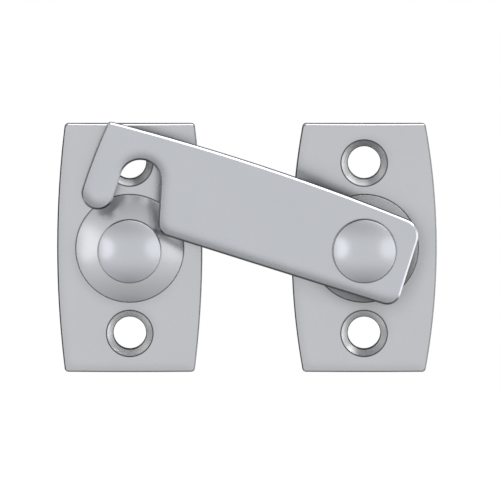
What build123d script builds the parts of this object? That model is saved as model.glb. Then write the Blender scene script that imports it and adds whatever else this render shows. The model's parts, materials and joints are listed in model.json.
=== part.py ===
from build123d import *
import os
from math import cos, hypot, radians, sin, tan

# A surface latch for a pair of shutters. A flat arm turns on a domed stud on the pivot plate,
# and its notch drops over the neck of the same stud on the keep plate.
#
# Sizes are in millimetres. The latch faces -Y, and a height is measured forward from the
# mounting plane, Y = 0. The origin is midway between the pivot plate's screw holes. The arm is
# drawn raised, clear of the keep.

# Plates
plate_width = 22.2            # at mid height, where the sides bow out most
keep_side_bow = 1.2           # how far each side bows out beyond the plate's ends
pivot_side_bow = 1.75
plate_thickness = 3.0         # along the upright centre line
plate_crown_radius = 80.0     # the front is part of one large upright cylinder
plate_corner_radius = 0.6
plate_edge_break = 0.2

# Holes for the fixing screws
screw_hole_radius = 2.5
countersink_radius = 3.55
countersink_angle = 90.0
boss_margin = 1.2             # from a countersink to the boss
end_margin = 2.4              # from a countersink to the end of the plate

# Domed bosses, with heights above the crown of the plate
boss_radius = 8.3
boss_edge_height = 0.2
boss_edge_break = 0.15
boss_height = 2.25            # to the flat seat on top of the dome
seat_margin = 0.1             # the seat's rim, outside the washer

# Studs
stud_spacing = 35.8
neck_radius = 2.8
head_radius = 4.9
head_rim_height = 0.6
head_rim_break = 0.2
head_dome_height = 1.6

# Screws that draw the studs down from the back
stud_screw_radius = 1.5
stud_screw_length = 8.0
stud_screw_head_radius = 2.8
stud_screw_head_angle = 90.0
stud_screw_recess = 0.1       # the head lies this far inside the back of the plate
slot_width = 0.8
slot_depth = 0.6

# Washer between the pivot plate's boss and the arm
washer_radius = 3.9
washer_thickness = 0.3

# Arm, measured along and across from its pivot
raised_angle = 17.5           # from closed to the position drawn
arm_thickness = 2.9           # at its crown
arm_crown_radius = 630.0      # the front is part of one large cylinder lying across the arm
arm_crown_distance = 12.0     # from the pivot to the thickest place
arm_bottom = 6.9              # straight lower edge, below the pivot
arm_top = 7.6                 # crest of the arched upper edge, above the pivot
arm_top_distance = 19.5       # from the pivot to that crest
tail_length = 7.25            # beyond the pivot
tail_top = 6.25
tail_top_radius = 2.6
tail_bottom_radius = 2.1
hook_top = 7.05
hook_lean = 0.75              # the hook's top corner stands this far inside the finger
hook_corner_radius = 0.7
finger_width = 4.95
finger_drop = 6.35            # from the pivot's level down to the finger's round tip
notch_flare = 14.0            # how far the notch's inner side leans open
notch_mouth_radius = 2.0
arm_edge_break = 0.3

# Clearances
running_clearance = 0.05      # round the neck, and above and below the arm
notch_clearance = 0.3         # between the notch and the keep's neck
screw_clearance = 0.1         # round a stud screw's shank and head
thread_clearance = 0.05
tip_clearance = 0.5           # beyond the tip of a stud screw
trim_allowance = 1.0          # metal that a crown trims away

# Heights and places that follow
seat_height = plate_thickness + boss_height
seat_radius = washer_radius + seat_margin
washer_bore_radius = neck_radius + running_clearance
arm_back_height = seat_height + washer_thickness + running_clearance
head_height = arm_back_height + arm_thickness + running_clearance
screw_tip_height = stud_screw_recess + stud_screw_length
screw_head_slope = tan(radians(stud_screw_head_angle / 2))
stud_sink_radius = stud_screw_head_radius + screw_clearance + stud_screw_recess * screw_head_slope
screw_hole_offset = boss_radius + boss_margin + countersink_radius
plate_length = 2 * (screw_hole_offset + countersink_radius + end_margin)
notch_radius = neck_radius + notch_clearance
keep_x = -stud_spacing
pivot_x = 0.0

# The ball that rounds a boss passes through the top of its edge and the rim of its seat
boss_edge_top = plate_thickness + boss_edge_height
boss_rise = seat_height - boss_edge_top
boss_centre_depth = (boss_radius**2 - seat_radius**2 - boss_rise**2) / (2 * boss_rise)
boss_ball_radius = hypot(boss_radius, boss_centre_depth)
boss_ball_crest = boss_edge_top - boss_centre_depth + boss_ball_radius

# The ball that rounds a head passes through the top of its rim and its crest
head_ball_radius = (head_radius**2 + head_dome_height**2) / (2 * head_dome_height)
head_crest = head_height + head_rim_height + head_dome_height


def front_plane(x, height=0.0):
    """Plane parallel to the back of the plates, at this height, with its origin on a stud's axis."""
    return Plane(origin=(x, -height, 0), x_dir=(1, 0, 0), z_dir=(0, -1, 0))


def plate_outline(x, side_bow):
    """Front view of a plate: straight ends, bowed sides and slightly rounded corners."""
    half_length = plate_length / 2
    half_end = plate_width / 2 - side_bow
    with BuildSketch(front_plane(x)) as outline:
        with BuildLine():
            Line((-half_end, half_length), (half_end, half_length))
            ThreePointArc((half_end, half_length), (plate_width / 2, 0), (half_end, -half_length))
            Line((half_end, -half_length), (-half_end, -half_length))
            ThreePointArc((-half_end, -half_length), (-plate_width / 2, 0), (-half_end, half_length))
        make_face()
        fillet(outline.vertices(), plate_corner_radius)
    return outline.sketch


def domed_disc(x, radius, base, top, ball_radius, ball_crest, edge_break):
    """A round disc from one height to another, rounded by a large ball, with a broken edge."""
    with BuildPart() as disc:
        with BuildSketch(front_plane(x, base)):
            Circle(radius)
        extrude(amount=top - base)
        with Locations((x, ball_radius - ball_crest, 0)):
            Sphere(ball_radius, mode=Mode.INTERSECT)
        widest_circles = disc.edges().filter_by(GeomType.CIRCLE).group_by(SortBy.RADIUS)[-1]
        chamfer(widest_circles.sort_by(Axis.Y)[0], edge_break)
    return disc.part


def stud_screw_profile(x):
    """Half section of a stud screw: flat countersunk head and shank, radius first, then height."""
    head_depth = (stud_screw_head_radius - stud_screw_radius) / screw_head_slope
    section_plane = Plane(origin=(x, 0, 0), x_dir=(1, 0, 0), z_dir=(0, 0, -1))
    with BuildSketch(section_plane) as profile:
        with BuildLine():
            Polyline(
                (0, stud_screw_recess),
                (stud_screw_head_radius, stud_screw_recess),
                (stud_screw_radius, stud_screw_recess + head_depth),
                (stud_screw_radius, screw_tip_height),
                (0, screw_tip_height),
                close=True,
            )
        make_face()
    return profile.sketch


# The two plates, each cast in one piece with its boss
os.makedirs("parts", exist_ok=True)
plates = [("keep_plate", keep_x, keep_side_bow), ("pivot_plate", pivot_x, pivot_side_bow)]
for plate_name, plate_x, side_bow in plates:
    boss = domed_disc(
        plate_x, boss_radius, 0, seat_height, boss_ball_radius, boss_ball_crest, boss_edge_break
    )
    with BuildPart() as plate:
        extrude(plate_outline(plate_x, side_bow), amount=plate_thickness + trim_allowance)
        with BuildSketch(Plane.XY):
            with Locations((plate_x, plate_crown_radius - plate_thickness)):
                Circle(plate_crown_radius)
        extrude(amount=plate_length, both=True, mode=Mode.INTERSECT)
        crowned_front = plate.faces().sort_by(Axis.Y)[0]
        chamfer(crowned_front.edges(), plate_edge_break)
        add(boss)
        with Locations(Plane(origin=(plate_x, 0, 0), x_dir=(1, 0, 0), z_dir=(0, 1, 0))):
            CounterSinkHole(
                radius=stud_screw_radius + screw_clearance,
                counter_sink_radius=stud_sink_radius,
                depth=seat_height,
                counter_sink_angle=stud_screw_head_angle,
            )
        with Locations(front_plane(plate_x, plate_thickness)):
            with Locations((0, screw_hole_offset), (0, -screw_hole_offset)):
                CounterSinkHole(
                    radius=screw_hole_radius,
                    counter_sink_radius=countersink_radius,
                    depth=plate_thickness,
                    counter_sink_angle=countersink_angle,
                )
    plate.part.label = plate_name
    export_step(plate.part, f"parts/{plate_name}.step")

# The two studs, each tapped from the back for its screw
for stud_name, stud_x in [("keep_stud", keep_x), ("pivot_stud", pivot_x)]:
    head = domed_disc(
        stud_x, head_radius, head_height, head_crest, head_ball_radius, head_crest, head_rim_break
    )
    with BuildPart() as stud:
        add(head)
        with BuildSketch(front_plane(stud_x, seat_height)):
            Circle(neck_radius)
        extrude(amount=head_height - seat_height)
        with BuildSketch(front_plane(stud_x, seat_height)):
            Circle(stud_screw_radius + thread_clearance)
        extrude(amount=screw_tip_height + tip_clearance - seat_height, mode=Mode.SUBTRACT)
    stud.part.label = stud_name
    export_step(stud.part, f"parts/{stud_name}.step")

# The slotted screws that hold the studs
for screw_name, screw_x in [("keep_stud_screw", keep_x), ("pivot_stud_screw", pivot_x)]:
    with BuildPart() as stud_screw:
        revolve(stud_screw_profile(screw_x), axis=Axis((screw_x, 0, 0), (0, -1, 0)))
        with BuildSketch(front_plane(screw_x, stud_screw_recess)):
            Rectangle(2 * stud_screw_head_radius + slot_width, slot_width)
        extrude(amount=slot_depth, mode=Mode.SUBTRACT)
    stud_screw.part.label = screw_name
    export_step(stud_screw.part, f"parts/{screw_name}.step")

# The washer, which keeps the arm off the boss
with BuildPart() as pivot_washer:
    with BuildSketch(front_plane(pivot_x, seat_height)):
        Circle(washer_radius)
        Circle(washer_bore_radius, mode=Mode.SUBTRACT)
    extrude(amount=washer_thickness)
pivot_washer.part.label = "pivot_washer"
export_step(pivot_washer.part, "parts/pivot_washer.step")

# The arm, drawn on its own plane: first direction along it to the tail, second up across it
along = Vector(cos(radians(raised_angle)), 0, -sin(radians(raised_angle)))
arm_plane = Plane(origin=(pivot_x, -arm_back_height, 0), x_dir=along, z_dir=(0, -1, 0))
arm_side_plane = Plane(origin=arm_plane.origin, x_dir=along, z_dir=-arm_plane.y_dir)

finger_inner = -(stud_spacing + notch_radius)
finger_outer = finger_inner - finger_width
finger_tip_radius = finger_width / 2
finger_straight_end = finger_tip_radius - finger_drop
hook_corner = (finger_outer + hook_lean, hook_top)
flare = radians(notch_flare)
notch_turn = (-stud_spacing + notch_radius * cos(flare), notch_radius * sin(flare))
notch_mouth = (notch_turn[0] + (notch_turn[1] + arm_bottom) * tan(flare), -arm_bottom)
tail_top_corner = (tail_length, tail_top)
tail_bottom_corner = (tail_length, -arm_bottom)

with BuildPart() as latch_arm:
    with BuildSketch(arm_plane) as arm_outline:
        with BuildLine():
            Polyline(notch_mouth, tail_bottom_corner, tail_top_corner)
            ThreePointArc(tail_top_corner, (-arm_top_distance, arm_top), hook_corner)
            TangentArc((finger_outer, finger_straight_end), hook_corner, tangent=(0, 1))
            ThreePointArc(
                (finger_outer, finger_straight_end),
                (finger_outer + finger_tip_radius, -finger_drop),
                (finger_inner, finger_straight_end),
            )
            Line((finger_inner, finger_straight_end), (finger_inner, 0))
            ThreePointArc((finger_inner, 0), (-stud_spacing, notch_radius), notch_turn)
            Line(notch_turn, notch_mouth)
        make_face()
        rounded_corners = [
            (tail_top_corner, tail_top_radius),
            (tail_bottom_corner, tail_bottom_radius),
            (hook_corner, hook_corner_radius),
            (notch_mouth, notch_mouth_radius),
        ]
        for corner, corner_radius in rounded_corners:
            fillet(arm_outline.vertices().sort_by_distance(corner)[0], corner_radius)
    extrude(amount=arm_thickness + trim_allowance)
    with BuildSketch(arm_side_plane):
        with Locations((-arm_crown_distance, arm_thickness - arm_crown_radius)):
            Circle(arm_crown_radius)
    extrude(amount=stud_spacing, both=True, mode=Mode.INTERSECT)
    arm_front = latch_arm.faces().sort_by(Axis.Y)[0]
    chamfer(arm_front.edges(), arm_edge_break)
    with BuildSketch(arm_plane):
        Circle(neck_radius + running_clearance)
    extrude(amount=arm_thickness, mode=Mode.SUBTRACT)
latch_arm.part.label = "latch_arm"
export_step(latch_arm.part, "parts/latch_arm.step")
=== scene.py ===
# %% [markdown]
# # A shutter latch in satin chrome
#
# This lesson dresses a finished model of a shutter latch. The latch is two small cast plates,
# each with a domed boss, a turned stud on each boss, and a flat arm that turns on the right-hand
# stud and drops its notch over the neck of the left-hand one.
#
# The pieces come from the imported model, which is loaded first and never moved. It holds every
# piece of the latch, so Blender adds only what it can't hold: the finish of the metal, the
# camera, the light and the floor. All lengths are in metres.

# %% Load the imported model
import json
from math import cos, pi, radians, sin
from types import SimpleNamespace

import bpy
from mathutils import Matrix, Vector


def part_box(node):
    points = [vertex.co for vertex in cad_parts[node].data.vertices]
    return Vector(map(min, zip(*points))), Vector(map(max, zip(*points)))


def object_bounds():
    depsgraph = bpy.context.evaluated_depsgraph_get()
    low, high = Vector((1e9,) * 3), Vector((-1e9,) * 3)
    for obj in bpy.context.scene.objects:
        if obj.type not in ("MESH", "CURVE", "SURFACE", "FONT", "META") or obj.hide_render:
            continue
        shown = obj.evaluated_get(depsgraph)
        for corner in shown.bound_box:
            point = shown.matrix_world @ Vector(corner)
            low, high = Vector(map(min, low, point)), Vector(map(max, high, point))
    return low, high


MM = 0.001

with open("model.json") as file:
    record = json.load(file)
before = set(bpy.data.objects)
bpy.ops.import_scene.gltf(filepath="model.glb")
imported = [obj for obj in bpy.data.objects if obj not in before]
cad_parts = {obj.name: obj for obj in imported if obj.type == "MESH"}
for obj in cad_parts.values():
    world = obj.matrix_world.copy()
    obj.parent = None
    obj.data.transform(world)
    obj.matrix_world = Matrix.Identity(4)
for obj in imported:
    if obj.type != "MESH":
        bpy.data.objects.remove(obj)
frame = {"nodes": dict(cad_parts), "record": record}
cad_low, cad_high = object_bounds()
nodes = frame["nodes"]
print("pieces:", ", ".join(sorted(nodes)))
print("size in mm:", [round(side / MM, 2) for side in cad_high - cad_low])

# %% [markdown]
# ## The places that the finishes need
#
# A turned piece has its tool marks round its own axis, so the materials have to know where the
# two studs and the four screw holes stand. Places that are typed in go wrong as soon as the
# model changes. The studs' axes come from the boxes of the pieces instead: a stud is as wide as
# its round head, so its axis is in the middle of its box. The holes come from the model's own
# record of what it is screwed down by, which gives their radius and how far apart they are.
# Only the radius of their countersinks is typed in, because the record doesn't give it.

# %% Where the studs are


def middle(node):
    """The middle of a piece's box."""
    low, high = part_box(node)
    return (low + high) / 2


keep_axis = middle("keep_stud")
pivot_axis = middle("pivot_stud")
print("studs at x, in mm:", round(keep_axis.x / MM, 2), round(pivot_axis.x / MM, 2))

# %% Where the screw holes are
COUNTERSINK_RADIUS = 3.55 * MM

mounts = {mount["name"]: mount for mount in frame["record"]["mounts"]}
screw_holes = mounts["pivot_plate_screws"]["dims"]
HOLE_RADIUS = screw_holes["hole_r_mm"] * MM
HOLE_HEIGHT = screw_holes["spacing_y_mm"] / 2 * MM
print("radius of a hole in mm:", round(HOLE_RADIUS / MM, 2))
print("holes above and below a stud, in mm:", round(HOLE_HEIGHT / MM, 2))

# %% [markdown]
# ## An empty finish
#
# Every finish here is a Principled BSDF whose colour, roughness and bump come from noise that
# reads Object coordinates. Each piece's object sits at the origin, so its Object coordinates
# are the real places on the latch in metres, and a noise of one millimetre has that size on
# every piece. A finish is built up in steps, so its parts are kept together under plain names
# that each step can read and change.

# %% An empty finish


def new_finish(name):
    """An empty node material with its output, its Principled BSDF and its coordinates."""
    material = bpy.data.materials.new(name)
    material.use_nodes = True
    tree = material.node_tree
    tree.nodes.clear()
    output = tree.nodes.new("ShaderNodeOutputMaterial")
    bsdf = tree.nodes.new("ShaderNodeBsdfPrincipled")
    tree.links.new(bsdf.outputs["BSDF"], output.inputs["Surface"])
    place = tree.nodes.new("ShaderNodeTexCoord").outputs["Object"]
    return SimpleNamespace(material=material, tree=tree, output=output, bsdf=bsdf, place=place)


def feed(tree, value, socket):
    """Link another node's output to a socket, or set a number or a colour on the socket."""
    if isinstance(value, bpy.types.NodeSocket):
        tree.links.new(value, socket)
    elif socket.type == "RGBA":
        socket.default_value = (*value, 1.0)
    else:
        socket.default_value = value


# %% Dressing a piece


def dress(node, finish):
    """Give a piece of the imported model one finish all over."""
    slots = nodes[node].data.materials
    slots.clear()
    slots.append(finish.material)
    print(f"{node}: {finish.material.name}, {len(finish.tree.nodes)} nodes")


# %% [markdown]
# ## Patterns and sums
#
# The rest of a finish is arithmetic on nodes. Written out node by node it would hide what it
# does, so each kind of node that comes back often gets a short function of its own. Each one
# takes sockets or plain numbers and returns a socket, so they nest like ordinary sums.

# %% Noise and ramps
NOISE_DETAIL = 2.0


def noise(tree, place, feature_size):
    """Noise with features of this size in metres, as a factor from 0 to 1."""
    texture = tree.nodes.new("ShaderNodeTexNoise")
    texture.inputs["Scale"].default_value = 1.0 / feature_size
    texture.inputs["Detail"].default_value = NOISE_DETAIL
    tree.links.new(place, texture.inputs["Vector"])
    return texture.outputs["Fac"]


def ramp(tree, factor, span, low=0.0, high=1.0, smooth=False):
    """Spread a span of the factor over low to high, and hold it beyond both ends."""
    spread = tree.nodes.new("ShaderNodeMapRange")
    spread.interpolation_type = "SMOOTHSTEP" if smooth else "LINEAR"
    ends = {"From Min": span[0], "From Max": span[1], "To Min": low, "To Max": high}
    for name, value in ends.items():
        spread.inputs[name].default_value = value
    tree.links.new(factor, spread.inputs["Value"])
    return spread.outputs["Result"]


# %% Sums


def calculate(tree, operation, *values):
    """A Math node on values that are sockets or numbers."""
    node = tree.nodes.new("ShaderNodeMath")
    node.operation = operation
    for value, socket in zip(values, node.inputs):
        feed(tree, value, socket)
    return node.outputs["Value"]


def vector_math(tree, operation, *values, result="Vector"):
    """A Vector Math node on values that are sockets or three numbers."""
    node = tree.nodes.new("ShaderNodeVectorMath")
    node.operation = operation
    for value, socket in zip(values, node.inputs):
        feed(tree, value, socket)
    return node.outputs[result]


def component(tree, vector, axis):
    """One part of a vector, named X, Y or Z."""
    split = tree.nodes.new("ShaderNodeSeparateXYZ")
    tree.links.new(vector, split.inputs["Vector"])
    return split.outputs[axis]


# %% Blends
# A Mix node has two inputs and a result of its own for each kind of data
MIX_SOCKETS = {"FLOAT": (2, 3, 0), "RGBA": (6, 7, 2)}


def blend(tree, kind, factor, first, second):
    """The first where the factor is 0, and the second where it is 1."""
    node = tree.nodes.new("ShaderNodeMix")
    node.data_type = kind
    first_input, second_input, result = MIX_SOCKETS[kind]
    feed(tree, factor, node.inputs["Factor"])
    feed(tree, first, node.inputs[first_input])
    feed(tree, second, node.inputs[second_input])
    return node.outputs[result]


def blend_values(tree, factor, first, second):
    return blend(tree, "FLOAT", factor, first, second)


def blend_colours(tree, factor, first, second):
    return blend(tree, "RGBA", factor, first, second)


# %% Bump


def bump(finish, height, depth, strength, normal=None):
    """Bump from a height factor, whose full range is this deep in metres, on top of a normal."""
    node = finish.tree.nodes.new("ShaderNodeBump")
    node.inputs["Distance"].default_value = depth
    node.inputs["Strength"].default_value = strength
    feed(finish.tree, height, node.inputs["Height"])
    if normal is not None:
        feed(finish.tree, normal, node.inputs["Normal"])
    feed(finish.tree, node.outputs["Normal"], finish.bsdf.inputs["Normal"])


# %% [markdown]
# ## Edges
#
# A thin dark line is painted along every edge of the plates and the studs, a painted shade that
# draws the edges. It could be painted on an unwrapped copy of each piece. The Bevel node needs
# no unwrapping: it gives the normal that a rounded edge would have, so wherever that differs from
# the true normal there is an edge within its radius.
#
# The same node has a second use. No real edge is perfectly sharp, and so it catches the light.
# On every metal here, a rounded normal of very small radius goes under the bump to do that.

# %% True and rounded normals
GLINT_RADIUS = 0.12 * MM
BEVEL_SAMPLES = 8


def true_normal(tree):
    """The surface's own normal."""
    return tree.nodes.new("ShaderNodeNewGeometry").outputs["Normal"]


def rounded_normal(tree, radius):
    """The normal that the surface would have if its edges were rounded to this radius."""
    rounded = tree.nodes.new("ShaderNodeBevel")
    rounded.samples = BEVEL_SAMPLES
    rounded.inputs["Radius"].default_value = radius
    return rounded.outputs["Normal"]


def facing(tree, axis):
    """How much a face looks along one axis, from -1 to 1."""
    return component(tree, true_normal(tree), axis)


print("edges catch the light as if rounded, in mm:", round(GLINT_RADIUS / MM, 2))

# %% Painted dark lines along the edges
LINE_RADIUS = 0.16 * MM
LINE_RANGE = (0.93, 0.99)


# Painted shade: this mask darkens the colour in a thin line along every edge.
def painted_edge_line(tree):
    """1 in a thin line along each edge, and 0 elsewhere."""
    rounded = rounded_normal(tree, LINE_RADIUS)
    likeness = vector_math(tree, "DOT_PRODUCT", rounded, true_normal(tree), result="Value")
    return ramp(tree, likeness, LINE_RANGE, 1.0, 0.0)


print("reach of the dark lines in mm:", round(LINE_RADIUS / MM, 2))

# %% [markdown]
# ## Painted shade along the lower and left edges
#
# The colour is painted darker along the front edges below and on the left, a painted shade. A
# gradient across each piece would come close, but it would miss the edges of the bosses and of
# the notch. With a radius of a few millimetres, the Bevel node's normal leans out towards every
# edge that is near, and the more the nearer it is. So the part of that lean that points down and
# to the left says how dark the painted shade is.
#
# What faces up is painted darker as well, a painted shade that their normal tells.

# %% Painted shade at the lower edges and on the ledges
FADE_RADIUS = 2.6 * MM
FADE_DIRECTION = (-0.45, 0.0, -0.9)
FADE_RANGE = (0.01, 0.34)
FRONT_RANGE = (-0.80, -0.92)
LEDGE_RANGE = (0.70, 0.90)


def painted_low_left_shade(tree):
    """1 at the lower and left front edges, where shade is painted, and 0 a few millimetres from
    them.
    """
    rounded = rounded_normal(tree, FADE_RADIUS)
    leaning = vector_math(tree, "SUBTRACT", rounded, true_normal(tree))
    towards = vector_math(tree, "DOT_PRODUCT", leaning, FADE_DIRECTION, result="Value")
    on_front = ramp(tree, facing(tree, "Y"), FRONT_RANGE)
    return calculate(tree, "MULTIPLY", ramp(tree, towards, FADE_RANGE), on_front)


def ledge(tree):
    """1 on what faces up, and 0 elsewhere."""
    return ramp(tree, facing(tree, "Z"), LEDGE_RANGE)


print("reach of the dull edges in mm:", round(FADE_RADIUS / MM, 2))

# %% [markdown]
# ## Satin chrome
#
# The castings are blasted with fine beads before they are plated, which leaves a soft, even
# sheen with no direction. Chrome reflects a little more than half of the light and is very
# slightly blue. The blasting is a bump of two thousandths of a millimetre. A slow change of
# colour and roughness over a few millimetres keeps the sheen from looking painted on. A picture
# of metal could give both, but it would have to be unwrapped on to every piece, and noise in
# real millimetres fits them all as they are.
#
# A plated surface that is seen at a very low angle is dim as well, because its fine grain stands
# in its own way. On a metal, the specular tint of the Principled BSDF is the colour at such low
# angles. Together with the painted shade on what faces up, it draws the narrow ledges as thin
# dark lines.

# %% Satin chrome, in steps
PLATE_CHROME = (0.560, 0.570, 0.590)
ARM_CHROME = (0.553, 0.570, 0.606)
SHADED = 0.955
FADED = 0.50
TOP_FACE_SHADE = (0.24, 0.24, 0.24)
GRAZING_TINT = (0.15, 0.15, 0.16)
SATIN_ROUGHNESS = (0.25, 0.31)
CLOUD_SIZE = 7 * MM
GRIT_SIZE = 0.40 * MM


def scaled(colour, share):
    """A colour with each part made this share of what it was."""
    return tuple(share * part for part in colour)


def satin_chrome(name, chrome, fade):
    """Blasted and plated metal, with this share of the painted shade along its lower and left
    edges.
    """
    finish = new_finish(name)
    tree = finish.tree
    finish.bsdf.inputs["Metallic"].default_value = 1.0
    feed(tree, GRAZING_TINT, finish.bsdf.inputs["Specular Tint"])
    cloud = noise(tree, finish.place, CLOUD_SIZE)
    colour = blend_colours(tree, cloud, chrome, scaled(chrome, SHADED))
    # Painted shade: darker along the lower and left front edges.
    fading = calculate(tree, "MULTIPLY", painted_low_left_shade(tree), fade)
    colour = blend_colours(tree, fading, colour, scaled(chrome, FADED))
    # Painted shade: what faces up is painted darker.
    finish.colour = blend_colours(tree, ledge(tree), colour, TOP_FACE_SHADE)
    finish.roughness = ramp(tree, cloud, (0.0, 1.0), *SATIN_ROUGHNESS)
    finish.height = noise(tree, finish.place, GRIT_SIZE)
    return finish


print("satin roughness:", SATIN_ROUGHNESS)

# %% Satin chrome, joined to its shader
# The colour of the painted dark lines along the edges.
EDGE_LINE_SHADE = (0.10, 0.103, 0.107)
GRIT_DEPTH = 0.002 * MM
GRIT_STRENGTH = 0.4


def join_chrome(finish, line):
    """Paint shade into the colour in the lines, and join it, the roughness and the bump to the
    shader.
    """
    tree, bsdf = finish.tree, finish.bsdf
    feed(tree, blend_colours(tree, line, finish.colour, EDGE_LINE_SHADE), bsdf.inputs["Base Color"])
    feed(tree, finish.roughness, bsdf.inputs["Roughness"])
    edges = rounded_normal(tree, GLINT_RADIUS)
    bump(finish, finish.height, GRIT_DEPTH, GRIT_STRENGTH, edges)
    return finish


print("depth of the blasting in mm:", round(GRIT_DEPTH / MM, 4))

# %% [markdown]
# ## The arm's painted shadow
#
# Under the arm and beside it, a soft shadow is painted into the colour of the pivot's plate. The
# Ambient Occlusion node measures how much of its surroundings a point can see within a few
# millimetres. Its normal is leant up and to the left, so it counts what shelters a point from
# above, and hardly what stands below it. A dark patch in a fixed place would be simpler, but it
# would lie bare when the arm is turned.

# %% Finding where the arm's shadow is painted
SHELTER_REACH = 5.0 * MM
SHELTER_LEAN = (-0.5, 0.0, 0.5)
SHELTER_RANGE = (0.60, 0.86)
SHELTER_SAMPLES = 8


def arm_shadow_mask(tree):
    """1 where the painted shadow falls, sheltered from the upper left, and 0 in the open."""
    leant = vector_math(tree, "ADD", true_normal(tree), SHELTER_LEAN)
    shelter = tree.nodes.new("ShaderNodeAmbientOcclusion")
    shelter.samples = SHELTER_SAMPLES
    shelter.inputs["Distance"].default_value = SHELTER_REACH
    feed(tree, vector_math(tree, "NORMALIZE", leant), shelter.inputs["Normal"])
    return ramp(tree, shelter.outputs["AO"], SHELTER_RANGE, 1.0, 0.0)


print("reach of a shelter in mm:", round(SHELTER_REACH / MM, 2))

# %% [markdown]
# ## Distances and turned rings
#
# The studs are turned and the countersinks are cut, and a tool that goes round an axis leaves
# rings. They are far too fine to be modelled as grooves. Rings are a pattern that changes with
# the distance from the axis and with nothing else, so the distance is worked out first and then
# goes into a noise as its only coordinate. The two holes of a plate lie as far above its middle
# as below it. Their height is folded over with an absolute value, and one distance serves both.

# %% Distances from the axes


def slant(tree, across, height):
    """The length of a slanting line, from how far it goes across and how far up."""
    across_squared = calculate(tree, "MULTIPLY", across, across)
    height_squared = calculate(tree, "MULTIPLY", height, height)
    return calculate(tree, "SQRT", calculate(tree, "ADD", across_squared, height_squared))


def distance_from_stud(finish, stud):
    """How far a point is from a stud's axis, which runs from back to front."""
    tree, place = finish.tree, finish.place
    across = calculate(tree, "SUBTRACT", component(tree, place, "X"), stud.x)
    height = calculate(tree, "SUBTRACT", component(tree, place, "Z"), stud.z)
    return slant(tree, across, height)


def distance_from_hole(finish, stud):
    """How far a point is from the axis of the nearer screw hole, above or below a stud."""
    tree, place = finish.tree, finish.place
    across = calculate(tree, "SUBTRACT", component(tree, place, "X"), stud.x)
    folded = calculate(tree, "ABSOLUTE", component(tree, place, "Z"))
    height = calculate(tree, "SUBTRACT", folded, HOLE_HEIGHT)
    return slant(tree, across, height)


# %% Turned rings
FINE_RING_SIZE = 0.10 * MM


def rings(tree, distance, ring_size):
    """Tool marks, this far apart in metres, round the axis that the distance is taken from."""
    combine = tree.nodes.new("ShaderNodeCombineXYZ")
    feed(tree, distance, combine.inputs["X"])
    return noise(tree, combine.outputs["Vector"], ring_size)


print("fine rings in mm:", round(FINE_RING_SIZE / MM, 2))

# %% [markdown]
# ## Machined countersinks
#
# The plates are cast, but their countersinks are cut afterwards. A cut cone is brighter than the
# blasted face round it, its grain runs in fine rings, and its sharp rims are painted dark, a
# painted shade. The lower part of the two upper cones, which lie open above, is painted darker, a
# painted shade where it would catch the light. The bosses shade the others.
# The cones could be given a material of their own, but then the model's mesh would have to be
# changed. They are found by their distance from the holes' axes instead. The plate's back is as
# near to those axes, and nothing is cut there, so whatever looks backwards is left out.

# %% Where a plate is cut
CUT_MARGIN = 0.06 * MM
RIM_WIDTH = 0.13 * MM
BACK_RANGE = (0.5, 0.7)


def not_back(tree):
    """0 on what looks backwards, and 1 elsewhere."""
    return ramp(tree, facing(tree, "Y"), BACK_RANGE, 1.0, 0.0)


def in_countersink(tree, distance):
    """1 in the cones and in the holes behind them, and 0 elsewhere."""
    edge = (COUNTERSINK_RADIUS, COUNTERSINK_RADIUS + CUT_MARGIN)
    return calculate(tree, "MULTIPLY", ramp(tree, distance, edge, 1.0, 0.0), not_back(tree))


def on_rim(tree, distance, radius):
    """1 on a thin ring of this radius, and 0 elsewhere."""
    from_rim = calculate(tree, "ABSOLUTE", calculate(tree, "SUBTRACT", distance, radius))
    rim = ramp(tree, from_rim, (RIM_WIDTH / 2, RIM_WIDTH), 1.0, 0.0)
    return calculate(tree, "MULTIPLY", rim, not_back(tree))


print("width of a countersink in mm:", round(2 * COUNTERSINK_RADIUS / MM, 2))

# %% The finish of a cut cone
CUT_CHROME = (0.78, 0.79, 0.80)
CUT_ROUGHNESS = 0.36
CUT_CONE_SHADE = (0.42, 0.425, 0.43)
CUT_CONE_SHADE_RANGE = (0.30, 0.68)


def machine_countersinks(finish, distance):
    """Change the colour, the roughness and the height to those of a cut cone, in the cones."""
    tree = finish.tree
    cut = in_countersink(tree, distance)
    # Painted shade: the part of the two upper cones that faces up is painted darker.
    above_stud = calculate(tree, "GREATER_THAN", component(tree, finish.place, "Z"), 0.0)
    cone_shade = ramp(tree, facing(tree, "Z"), CUT_CONE_SHADE_RANGE)
    cone_shade = calculate(tree, "MULTIPLY", cone_shade, above_stud)
    cut_colour = blend_colours(tree, cone_shade, CUT_CHROME, CUT_CONE_SHADE)
    cutter_marks = rings(tree, distance, FINE_RING_SIZE)
    finish.colour = blend_colours(tree, cut, finish.colour, cut_colour)
    finish.roughness = blend_values(tree, cut, finish.roughness, CUT_ROUGHNESS)
    finish.height = blend_values(tree, cut, finish.height, cutter_marks)


print("roughness of a cut cone:", CUT_ROUGHNESS)

# %% [markdown]
# ## Plates
#
# A plate is satin chrome with three changes. The sides of a plate and the narrow broken edges
# along them are painted dark, a painted shade. They are found by a normal that leans sideways,
# outside the boss, whose flanks lean as well. The pivot's plate then gets the arm's painted
# shadow, and little of that leaves the boss. The other plate has no painted shadow. The
# countersinks and the painted dark lines come last, over all the rest.
#
# One function makes both plates. It only has to be told which stud stands on the plate and
# whether the plate takes the arm's painted shadow.

# %% The plates' painted sides and the arm's painted shadow
BOSS_REACH = 8.36 * MM
SIDE_SHADE_CHROME = (0.24, 0.245, 0.25)
SIDE_RANGE = (0.35, 0.50)
ARM_SHADOW_CHROME = (0.12, 0.12, 0.12)
ARM_SHADOW_OFF_BOSS = 0.3


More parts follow.
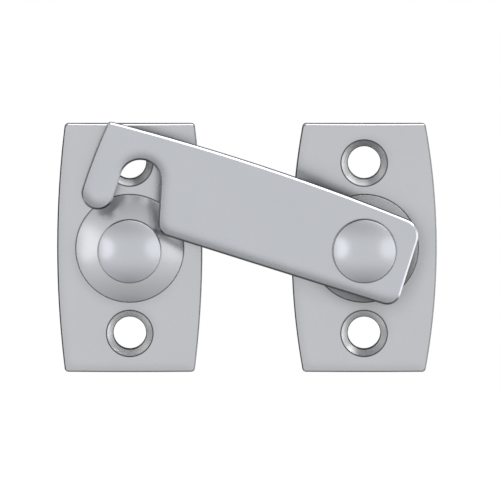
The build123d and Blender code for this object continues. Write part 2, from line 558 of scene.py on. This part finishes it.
def paint_sides_shaded(finish, outside_boss):
    """Paint shade on a plate's sides and their broken edges, and not on its front or its boss."""
    tree = finish.tree
    leans = ramp(tree, calculate(tree, "ABSOLUTE", facing(tree, "X")), SIDE_RANGE)
    side = calculate(tree, "MULTIPLY", leans, outside_boss)
    # Painted shade on the sides, outside the boss.
    finish.colour = blend_colours(tree, side, finish.colour, SIDE_SHADE_CHROME)


def paint_arm_shadow(finish, outside_boss):
    """Paint the arm's shadow where it falls, and less of it outside the boss."""
    tree = finish.tree
    share = blend_values(tree, outside_boss, 1.0, ARM_SHADOW_OFF_BOSS)
    # Painted shadow of the arm, darker on the boss than off it.
    painted_shadow = calculate(tree, "MULTIPLY", arm_shadow_mask(tree), share)
    finish.colour = blend_colours(tree, painted_shadow, finish.colour, ARM_SHADOW_CHROME)


print("reach of a boss in mm:", round(BOSS_REACH / MM, 2))

# %% Plates
PLATE_FADE = 0.3


def plate_chrome(name, stud, takes_arm_shadow):
    """Satin chrome with painted shade on its sides and machined countersinks, for the plate of
    one stud.
    """
    finish = satin_chrome(name, PLATE_CHROME, PLATE_FADE)
    tree = finish.tree
    from_stud = distance_from_stud(finish, stud)
    outside_boss = calculate(tree, "GREATER_THAN", from_stud, BOSS_REACH)
    paint_sides_shaded(finish, outside_boss)
    if takes_arm_shadow:
        paint_arm_shadow(finish, outside_boss)
    from_hole = distance_from_hole(finish, stud)
    machine_countersinks(finish, from_hole)
    line = painted_edge_line(tree)
    # The rims of the countersinks and the holes get painted dark lines as well.
    for radius in (COUNTERSINK_RADIUS, HOLE_RADIUS):
        line = calculate(tree, "MAXIMUM", line, on_rim(tree, from_hole, radius))
    return join_chrome(finish, line)


dress("keep_plate", plate_chrome("keep_plate_chrome", keep_axis, takes_arm_shadow=False))
dress("pivot_plate", plate_chrome("pivot_plate_chrome", pivot_axis, takes_arm_shadow=True))

# %% [markdown]
# ## The arm
#
# The arm has no painted dark line along all its edges, and its upper edges are left bright. Only
# the broken edges that look down are painted dark, a painted shade under them, and that is its
# line instead.
#
# Round its notch it slides over the neck of the other plate's stud, and there its back and its
# sides are painted bright, a painted light. Those faces are found by their distance from that
# stud as the arm is drawn, and by what they don't do: they look neither forward nor up.

# %% Painted shade and painted light on the arm
LOOKS_DOWN = (-0.20, -0.45)
LOOKS_FORWARD = (-0.45, -0.60)
UNDERSIDE_SHADE = 0.8
NOTCH_LIGHT_RANGE = (-0.45, -0.25)
NOTCH_LIGHT_REACH = 15 * MM


def painted_underside_shade(tree):
    """Painted shade on the broken edges that look both forward and down, and 0 elsewhere."""
    down = ramp(tree, facing(tree, "Z"), LOOKS_DOWN, 0.0, UNDERSIDE_SHADE)
    return calculate(tree, "MULTIPLY", down, ramp(tree, facing(tree, "Y"), LOOKS_FORWARD))


def painted_light_near_notch(finish):
    """1 on the faces near the notch that look neither forward nor up, and 0 elsewhere."""
    tree = finish.tree
    not_forward = ramp(tree, facing(tree, "Y"), NOTCH_LIGHT_RANGE)
    not_up = calculate(tree, "SUBTRACT", 1.0, ledge(tree))
    from_keep = distance_from_stud(finish, keep_axis)
    near_notch = calculate(tree, "LESS_THAN", from_keep, NOTCH_LIGHT_REACH)
    notch_light = calculate(tree, "MULTIPLY", not_forward, not_up)
    return calculate(tree, "MULTIPLY", notch_light, near_notch)


# Within this reach of the keep's stud, painted light is put on the arm.
print("the keep's stud rubs within, in mm:", round(NOTCH_LIGHT_REACH / MM, 2))

# %% The arm
NOTCH_LIGHT_CHROME = (0.82, 0.83, 0.84)
ARM_FADE = 1.0


def arm_chrome():
    """Satin chrome, with painted light in and behind the notch and painted shade below."""
    finish = satin_chrome("arm_chrome", ARM_CHROME, ARM_FADE)
    notch_light = painted_light_near_notch(finish)
    # Painted light on the back and sides near the notch.
    finish.colour = blend_colours(finish.tree, notch_light, finish.colour, NOTCH_LIGHT_CHROME)
    # Painted shade on the arm's downward edges.
    return join_chrome(finish, painted_underside_shade(finish.tree))


dress("latch_arm", arm_chrome())

# %% [markdown]
# ## Turned studs
#
# The studs are turned on a lathe, so under their satin plating the domed heads keep very faint
# rings round the stud's axis. The rings are added to the height of the blasting, and they only
# just catch the light at the edges of the pale lobes.

# %% Studs
STUD_FADE = 0.25
STUD_RING_SIZE = 0.22 * MM


def stud_chrome(name, stud):
    """Satin chrome over faint turning marks."""
    finish = satin_chrome(name, ARM_CHROME, STUD_FADE)
    tree = finish.tree
    turning_marks = rings(tree, distance_from_stud(finish, stud), STUD_RING_SIZE)
    finish.height = calculate(tree, "ADD", finish.height, turning_marks)
    return join_chrome(finish, painted_edge_line(tree))


dress("keep_stud", stud_chrome("keep_stud_chrome", keep_axis))
dress("pivot_stud", stud_chrome("pivot_stud_chrome", pivot_axis))

# %% [markdown]
# ## Stud screws
#
# The screws that hold the studs show only from the back. They are plain steel with flat heads
# that were faced on a lathe, so their marks run round the axis as well, and the steel is darker
# and a little yellower than the chrome. Colour, roughness and bump could each have a noise of
# its own. Here the same rings give all three, because a tool mark is all three at once.

# %% Stud screws
STEEL = (0.43, 0.425, 0.42)
STEEL_DARK = (0.30, 0.295, 0.29)
STEEL_MARKS_RANGE = (0.3, 0.7)
STEEL_ROUGHNESS = (0.28, 0.42)
STEEL_DEPTH = 0.01 * MM
STEEL_STRENGTH = 0.6


def faced_steel(name, stud):
    """Bare steel with rings from facing."""
    finish = new_finish(name)
    tree, bsdf = finish.tree, finish.bsdf
    bsdf.inputs["Metallic"].default_value = 1.0
    marks = rings(tree, distance_from_stud(finish, stud), FINE_RING_SIZE)
    feed(tree, blend_colours(tree, marks, STEEL, STEEL_DARK), bsdf.inputs["Base Color"])
    feed(tree, ramp(tree, marks, STEEL_MARKS_RANGE, *STEEL_ROUGHNESS), bsdf.inputs["Roughness"])
    bump(finish, marks, STEEL_DEPTH, STEEL_STRENGTH, rounded_normal(tree, GLINT_RADIUS))
    return finish


dress("keep_stud_screw", faced_steel("keep_screw_steel", keep_axis))
dress("pivot_stud_screw", faced_steel("pivot_screw_steel", pivot_axis))

# %% [markdown]
# ## Washer
#
# The washer between the pivot's boss and the arm hardly shows, but it comes into view where the
# model is taken apart. It is natural nylon, an ivory plastic with a soft sheen and faint flow
# clouds. One noise would make it look like stone, so it has two: a large one for the clouds and
# a small one for the moulded skin.

# %% Washer
NYLON = (0.70, 0.67, 0.60)
NYLON_CLOUD = (0.62, 0.59, 0.52)
NYLON_CLOUD_SIZE = 1.5 * MM
NYLON_ROUGHNESS = (0.42, 0.55)
NYLON_SKIN_SIZE = 0.2 * MM
NYLON_DEPTH = 0.01 * MM
NYLON_STRENGTH = 0.3


def natural_nylon():
    """Ivory plastic with faint clouds."""
    finish = new_finish("natural_nylon")
    tree, bsdf = finish.tree, finish.bsdf
    cloud = noise(tree, finish.place, NYLON_CLOUD_SIZE)
    skin = noise(tree, finish.place, NYLON_SKIN_SIZE)
    feed(tree, blend_colours(tree, cloud, NYLON, NYLON_CLOUD), bsdf.inputs["Base Color"])
    feed(tree, ramp(tree, cloud, (0.0, 1.0), *NYLON_ROUGHNESS), bsdf.inputs["Roughness"])
    bump(finish, skin, NYLON_DEPTH, NYLON_STRENGTH)
    return finish


dress("pivot_washer", natural_nylon())

# %% [markdown]
# ## Camera
#
# The latch is seen almost straight from the front and very slightly from above, with hardly any
# perspective. A camera without any would do as well, but a real one is never quite free of it,
# so this one stands far back with a long lens. The lens follows from the distance and from the
# width that the picture covers at the latch. The camera looks at the point of the latch that
# lies in the middle of the picture.

# %% Camera
VIEW_TILT = 4.5
AIM = Vector((-17.43 * MM, -3.0 * MM, -0.26 * MM))
CAMERA_DISTANCE = 2.0
FRAME_WIDTH = 76.35 * MM
SENSOR_WIDTH = 36.0
NEAREST_SEEN = 0.1
FURTHEST_SEEN = 100.0

camera_data = bpy.data.cameras.new("camera")
camera_data.sensor_width = SENSOR_WIDTH
camera_data.lens = SENSOR_WIDTH * CAMERA_DISTANCE / FRAME_WIDTH
camera_data.clip_start = NEAREST_SEEN
camera_data.clip_end = FURTHEST_SEEN
camera = bpy.data.objects.new("camera", camera_data)
bpy.context.scene.collection.objects.link(camera)
towards_camera = Vector((0, -cos(radians(VIEW_TILT)), sin(radians(VIEW_TILT))))
camera.location = AIM + CAMERA_DISTANCE * towards_camera
camera.rotation_euler = (radians(90 - VIEW_TILT), 0, 0)
bpy.context.scene.camera = camera
print("lens in mm:", round(camera_data.lens))

# %% [markdown]
# ## What a ray sees
#
# The background has to be white in the picture, and still the metal needs something to reflect.
# A Light Path node tells the two apart: it says whether a ray comes straight from the camera,
# from a reflection or through something clear. The world and the floor both use it to mix two
# shaders, so that choice comes first.

# %% Choosing by the kind of ray


def kind_of_ray(tree, *kinds):
    """1 where a ray is of one of these kinds, and 0 elsewhere."""
    path = tree.nodes.new("ShaderNodeLightPath")
    factor = path.outputs[kinds[0]]
    for kind in kinds[1:]:
        factor = calculate(tree, "MAXIMUM", factor, path.outputs[kind])
    return factor


def choose_shader(tree, factor, first, second):
    """The first shader where the factor is 0, and the second where it is 1."""
    choice = tree.nodes.new("ShaderNodeMixShader")
    feed(tree, factor, choice.inputs["Fac"])
    feed(tree, first, choice.inputs[1])
    feed(tree, second, choice.inputs[2])
    return choice.outputs["Shader"]


# %% [markdown]
# ## The room
#
# Metal shows nothing but its surroundings, so the room matters more than the lamps. The camera
# sees plain white. Reflections see nearly the same white round the horizon, and it falls off
# gently towards the ceiling, the ground and the left-hand wall. That is what rounds the domes
# and draws the undersides and the left-hand edges dark. Walls of real meshes would do it too,
# but a world has no size, so it never gets in the way of the camera.
#
# Each range below says where a fall-off begins and where it ends, in a direction of length 1:
# its height, or how far it points to the side. The ceiling and the ground are given by their
# brightness, and the last two by the share of it that they leave.

# %% How bright the room is
HORIZON = 0.97
CEILING = 0.66
GROUND = 0.63
UNDERSIDE_SHARE = 0.45
LEFT_WALL_SHARE = 0.12
CEILING_RANGE = (0.25, 0.85)
GROUND_RANGE = (-0.35, -0.97)
UNDERSIDE_RANGE = (-0.90, -0.99)
LEFT_WALL_RANGE = (-0.84, -0.97)


def room_brightness(tree):
    """How bright the room is in each direction."""
    direction = tree.nodes.new("ShaderNodeTexCoord").outputs["Generated"]
    height = component(tree, direction, "Z")
    side = component(tree, direction, "X")
    brightness = ramp(tree, height, CEILING_RANGE, HORIZON, CEILING, smooth=True)
    falls = (
        (height, GROUND_RANGE, GROUND / HORIZON),
        (height, UNDERSIDE_RANGE, UNDERSIDE_SHARE),
        (side, LEFT_WALL_RANGE, LEFT_WALL_SHARE),
    )
    for part, fall_range, share in falls:
        fall = ramp(tree, part, fall_range, 1.0, share, smooth=True)
        brightness = calculate(tree, "MULTIPLY", brightness, fall)
    return brightness


print("room: horizon", HORIZON, "ceiling", CEILING, "ground", GROUND)

# %% The room
WHITE = (1.0, 1.0, 1.0)


def white_light(tree, strength):
    """White from every direction, this bright."""
    light = tree.nodes.new("ShaderNodeBackground")
    feed(tree, WHITE, light.inputs["Color"])
    feed(tree, strength, light.inputs["Strength"])
    return light.outputs["Background"]


room = bpy.data.worlds.new("studio")
bpy.context.scene.world = room
room.use_nodes = True
room_tree = room.node_tree
room_tree.nodes.clear()
room_output = room_tree.nodes.new("ShaderNodeOutputWorld")
reflected = white_light(room_tree, room_brightness(room_tree))
seen = white_light(room_tree, 1.0)
sees_white = kind_of_ray(room_tree, "Is Camera Ray", "Is Transmission Ray")
room_shader = choose_shader(room_tree, sees_white, reflected, seen)
feed(room_tree, room_shader, room_output.inputs["Surface"])
print("nodes in the room:", len(room_tree.nodes))

# %% [markdown]
# ## Softboxes
#
# Two broad oval softboxes, left and right of the camera, put the pale lobes on the sides of the
# domes. A long one overhead, leaning to the right, lights only what faces up: the edges that run
# along the top of the arm and the plates. A last one stands to the right, a little low, and
# draws the thin white line down the arm's right-hand end. One large lamp would light the latch as
# well, but it would lie on the domes as a single spot and leave the edges grey.
#
# Each is placed by two angles in degrees: how far round it stands from the front, and how high.
# Its radiance is how bright it is to look at, and the watts follow from that. They are pi times
# its area times the radiance.

# %% A softbox
SOFTBOX_DISTANCE = 2.5


def softbox(name, around, up, width, height, radiance, shape):
    """A lamp that faces the latch."""
    data = bpy.data.lights.new(name, "AREA")
    data.shape = shape
    data.size = width
    data.size_y = height
    area = width * height * (pi / 4 if shape == "ELLIPSE" else 1.0)
    data.energy = radiance * pi * area
    lamp = bpy.data.objects.new(name, data)
    bpy.context.scene.collection.objects.link(lamp)
    level = cos(radians(up))
    sideways = sin(radians(around)) * level
    backwards = -cos(radians(around)) * level
    outwards = Vector((sideways, backwards, sin(radians(up))))
    lamp.location = AIM + SOFTBOX_DISTANCE * outwards
    lamp.rotation_mode = "QUATERNION"
    lamp.rotation_quaternion = outwards.to_track_quat("Z", "Y")
    print(name, "in watts:", round(data.energy, 2))


# %% The four softboxes
softbox("left_softbox", around=-56, up=2, width=2.1, height=1.8, radiance=0.58, shape="ELLIPSE")
softbox("right_softbox", around=56, up=2, width=2.1, height=1.8, radiance=0.40, shape="ELLIPSE")
softbox("top_softbox", around=90, up=68, width=1.5, height=3.2, radiance=2.6, shape="RECTANGLE")
softbox("edge_softbox", around=92, up=-10, width=0.9, height=2.0, radiance=1.2, shape="RECTANGLE")

# %% [markdown]
# ## Floor
#
# The floor is a plain pale disc below the latch. More light would make it as white as the room,
# but it would bleach the metal as well. So it has a weak glow instead, which only the camera
# sees, and it still takes the latch's shadow. Reflections go straight through it, because the
# room's own ground stands for it there.

# %% The disc
FLOOR_DROP = 30 * MM
FLOOR_RADIUS = 0.30
FLOOR_CORNERS = 96

floor_height = cad_low.z - FLOOR_DROP
bpy.ops.object.select_all(action="DESELECT")
bpy.ops.mesh.primitive_circle_add(
    vertices=FLOOR_CORNERS, radius=FLOOR_RADIUS, fill_type="NGON", location=(0, 0, floor_height)
)
floor = bpy.context.object
floor.name = "floor"
print("floor at z, in mm:", round(floor_height / MM, 1))

# %% The floor's finish
FLOOR_COLOUR = (0.75, 0.75, 0.75)
FLOOR_ROUGHNESS = 0.8
FLOOR_GLOW = 0.6


def pale_floor():
    """Matt and pale, with a glow for the camera, and clear to reflections."""
    finish = new_finish("pale_floor")
    tree = finish.tree
    feed(tree, FLOOR_COLOUR, finish.bsdf.inputs["Base Color"])
    finish.bsdf.inputs["Roughness"].default_value = FLOOR_ROUGHNESS
    plain = finish.bsdf.outputs["BSDF"]
    glow = tree.nodes.new("ShaderNodeEmission")
    glow.inputs["Strength"].default_value = FLOOR_GLOW
    glowing = tree.nodes.new("ShaderNodeAddShader")
    feed(tree, plain, glowing.inputs[0])
    feed(tree, glow.outputs["Emission"], glowing.inputs[1])
    to_camera = kind_of_ray(tree, "Is Camera Ray")
    solid = choose_shader(tree, to_camera, plain, glowing.outputs["Shader"])
    clear = tree.nodes.new("ShaderNodeBsdfTransparent").outputs["BSDF"]
    to_reflection = kind_of_ray(tree, "Is Glossy Ray", "Is Transmission Ray")
    shader = choose_shader(tree, to_reflection, solid, clear)
    feed(tree, shader, finish.output.inputs["Surface"])
    return finish


floor_finish = pale_floor()
floor.data.materials.append(floor_finish.material)
print("floor:", floor_finish.material.name)

# %% [markdown]
# ## The end
#
# The Standard view leaves colours as they were written.

# %% The end
bpy.context.scene.view_settings.view_transform = "Standard"
